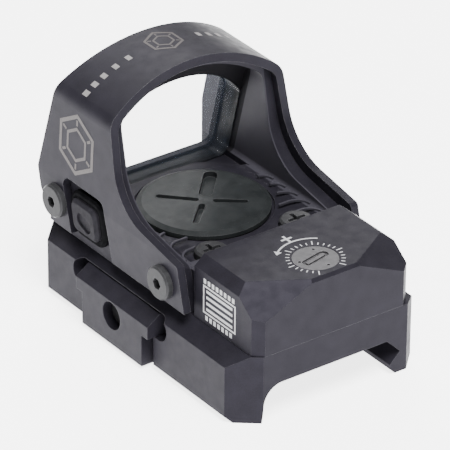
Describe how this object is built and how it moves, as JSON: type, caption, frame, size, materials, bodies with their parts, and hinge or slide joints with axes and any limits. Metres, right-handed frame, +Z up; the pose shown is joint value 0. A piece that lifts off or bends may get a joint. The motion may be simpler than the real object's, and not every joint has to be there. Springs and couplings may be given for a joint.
{
  "type": "red dot finder",
  "caption": "Hooded miniature red dot finder on a rail clamp mount, with lens, battery cap, buttons and windage and elevation screws.",
  "frame": {"origin": "middle of the box around the sight, on the plane of the mount's underside", "axes": "+Y the aiming direction, along the rail, +X the user's right, +Z up"},
  "size_m": [0.034, 0.0476, 0.0369],
  "materials": {
    "black_alloy": "matt black hard-anodised aluminium with a fine bead-blasted texture",
    "hood_steel": "matt black coated steel sheet",
    "screw_steel": "dark grey steel, satin",
    "black_screw": "black oxide steel",
    "cap_alloy": "dark green-grey anodised aluminium with handling scratches",
    "key_rubber": "dark grey silicone rubber",
    "lens_glass": "coated optical glass",
    "black_adhesive": "black optical adhesive",
    "seal_rubber": "black nitrile rubber",
    "board_laminate": "green glass-epoxy laminate",
    "component_black": "black moulded epoxy",
    "contact_brass": "gold-plated spring brass",
    "cell_steel": "plain nickel-plated steel",
    "cover_alloy": "black anodised sheet aluminium",
    "inner_brass": "machined brass",
    "emitter_epoxy": "clear red epoxy",
    "spring_steel": "bright spring steel"
  },
  "bodies": {
    "sight": {"rail_mount": "black_alloy", "housing": "black_alloy", "hood": "hood_steel", "hood_screws": "screw_steel", "deck_screws": "screw_steel", "cover_screws": "screw_steel", "key_frame_left": "key_rubber", "key_frame_right": "key_rubber", "front_lens": "lens_glass", "rear_lens": "lens_glass", "emitter_window": "lens_glass", "lens_bond": "black_adhesive", "cover_gasket": "seal_rubber", "circuit_board": "board_laminate", "flex_cable": "board_laminate", "control_chip": "component_black", "board_components": "component_black", "switch_left": "component_black", "switch_right": "component_black", "battery_contact": "contact_brass", "battery_cell": "cell_steel", "bottom_cover": "cover_alloy", "lift_springs": "spring_steel", "click_springs": "spring_steel", "click_balls": "spring_steel", "locating_pins": "spring_steel"},
    "clamp_bar": {"clamp_bar": "black_alloy"},
    "clamp_screw": {"clamp_screw": "black_screw"},
    "cap_seal": {"cap_seal": "seal_rubber"},
    "battery_cap": {"battery_cap": "cap_alloy", "cap_contact": "contact_brass"},
    "key_left": {"key_left": "key_rubber"},
    "key_right": {"key_right": "key_rubber"},
    "elevation_seal": {"elevation_seal": "seal_rubber"},
    "elevation_screw": {"elevation_screw": "screw_steel"},
    "windage_seal": {"windage_seal": "seal_rubber"},
    "windage_screw": {"windage_screw": "screw_steel"},
    "elevation_block": {"elevation_block": "inner_brass"},
    "emitter_carrier": {"emitter_carrier": "inner_brass", "led_emitter": "emitter_epoxy", "carrier_spring": "spring_steel"}
  },
  "joints": [
    {"name": "clamp_turn", "type": "hinge", "parent": "sight", "child": "clamp_screw", "pos_m": [0.014, 0.00345, 0.0051], "axis": [1, 0, 0], "range_deg": [0, 1542.9]},
    {"name": "clamp_slide", "type": "slide", "parent": "sight", "child": "clamp_bar", "axis": [-1, 0, 0], "range_m": [0, 0.003]},
    {"name": "cap_lift", "type": "slide", "parent": "sight", "child": "cap_seal", "axis": [0, 0, 1], "range_m": [0, 0.0015]},
    {"name": "cap_turn", "type": "hinge", "parent": "cap_seal", "child": "battery_cap", "pos_m": [0, 0.00575, 0.0162], "axis": [0, 0, 1], "range_deg": [0, 720]},
    {"name": "key_left_press", "type": "slide", "parent": "sight", "child": "key_left", "axis": [1, 0, 0], "range_m": [0, 0.0005], "stiffness_N_per_m": 1500, "springref_m": -0.0004},
    {"name": "key_right_press", "type": "slide", "parent": "sight", "child": "key_right", "axis": [-1, 0, 0], "range_m": [0, 0.0005], "stiffness_N_per_m": 1500, "springref_m": -0.0004},
    {"name": "elevation_lift", "type": "slide", "parent": "sight", "child": "elevation_seal", "axis": [0, 0, 1], "range_m": [-0.00035, 0.00035]},
    {"name": "elevation_turn", "type": "hinge", "parent": "elevation_seal", "child": "elevation_screw", "pos_m": [0, -0.01935, 0.0192], "axis": [0, 0, 1], "range_deg": [-360, 360]},
    {"name": "elevation_shift", "type": "slide", "parent": "sight", "child": "elevation_block", "axis": [0, 0, 1], "range_m": [-0.00035, 0.00035], "deforming": ["lift_springs"]},
    {"name": "windage_lift", "type": "slide", "parent": "sight", "child": "windage_seal", "axis": [1, 0, 0], "range_m": [-0.00035, 0.00035]},
    {"name": "windage_turn", "type": "hinge", "parent": "windage_seal", "child": "windage_screw", "pos_m": [0.0128, -0.01405, 0.0145], "axis": [1, 0, 0], "range_deg": [-360, 360]},
    {"name": "windage_shift", "type": "slide", "parent": "elevation_block", "child": "emitter_carrier", "axis": [1, 0, 0], "range_m": [-0.00035, 0.00035]}
  ],
  "couplings": [
    {"joint": "clamp_turn", "follows": "clamp_slide", "rad_per_m": 8976},
    {"joint": "cap_turn", "follows": "cap_lift", "rad_per_m": 8377.6},
    {"joint": "elevation_turn", "follows": "elevation_lift", "rad_per_m": 17952},
    {"joint": "elevation_shift", "follows": "elevation_lift", "ratio": 1},
    {"joint": "windage_turn", "follows": "windage_lift", "rad_per_m": 17952},
    {"joint": "windage_shift", "follows": "windage_lift", "ratio": 1}
  ]
}
